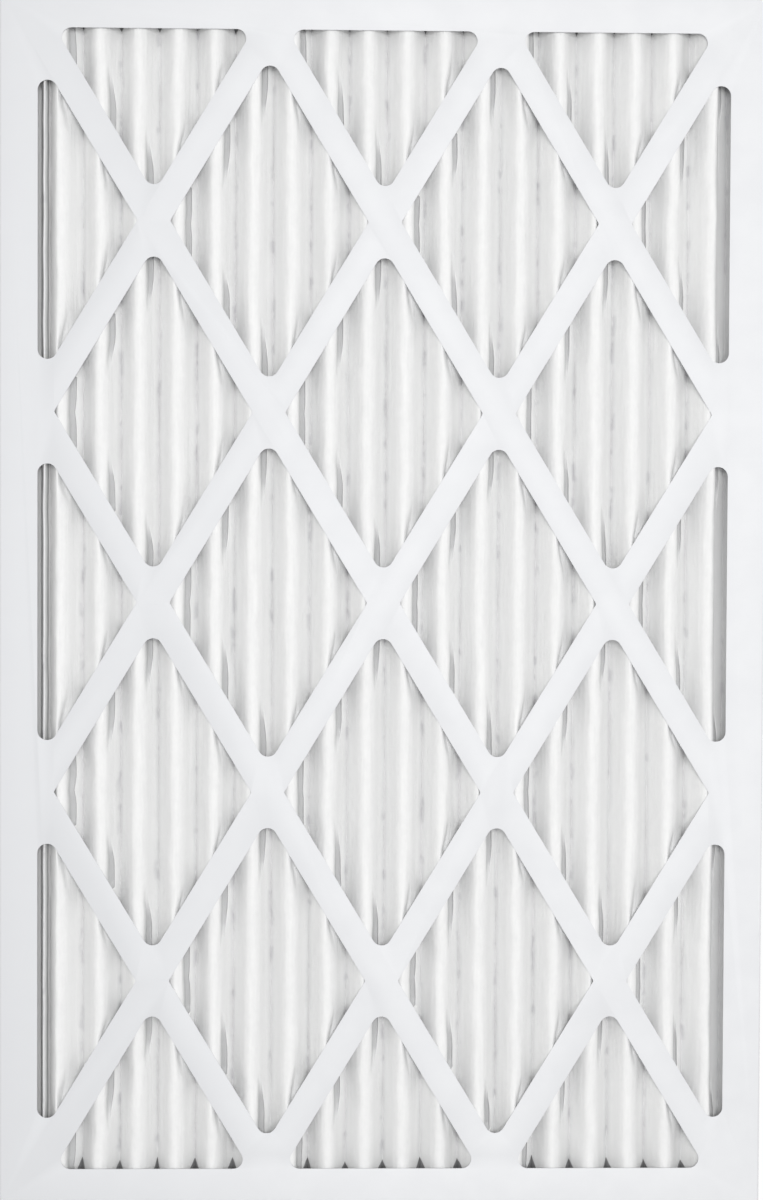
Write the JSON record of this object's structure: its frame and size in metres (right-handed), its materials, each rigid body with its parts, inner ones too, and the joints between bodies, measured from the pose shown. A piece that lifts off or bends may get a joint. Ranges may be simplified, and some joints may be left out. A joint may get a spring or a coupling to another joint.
{
  "type": "pleated panel air filter",
  "caption": "Flat pleated air filter: a folded non-woven sheet on a metal backing, glued between two die-cut board frames with a slanting lattice across each face.",
  "frame": {"origin": "middle of the panel's underside, which is the air-leaving face it lies on", "axes": "+X across the pleats, +Y along the pleats and the long side, +Z through the panel towards the air-entering face"},
  "size_m": [0.3938, 0.6224, 0.0191],
  "materials": {
    "frame_board": "clay-coated white board, satin",
    "filter_media": "lofty white non-woven",
    "grid_metal": "galvanised expanded metal",
    "adhesive": "off-white adhesive"
  },
  "bodies": {
    "root": {"front_frame": "frame_board", "rear_frame": "frame_board", "media_pack": "filter_media", "support_grid": "grid_metal", "end_glue_top": "adhesive", "end_glue_bottom": "adhesive", "side_glue_left": "adhesive", "side_glue_right": "adhesive"}
  },
  "joints": []
}
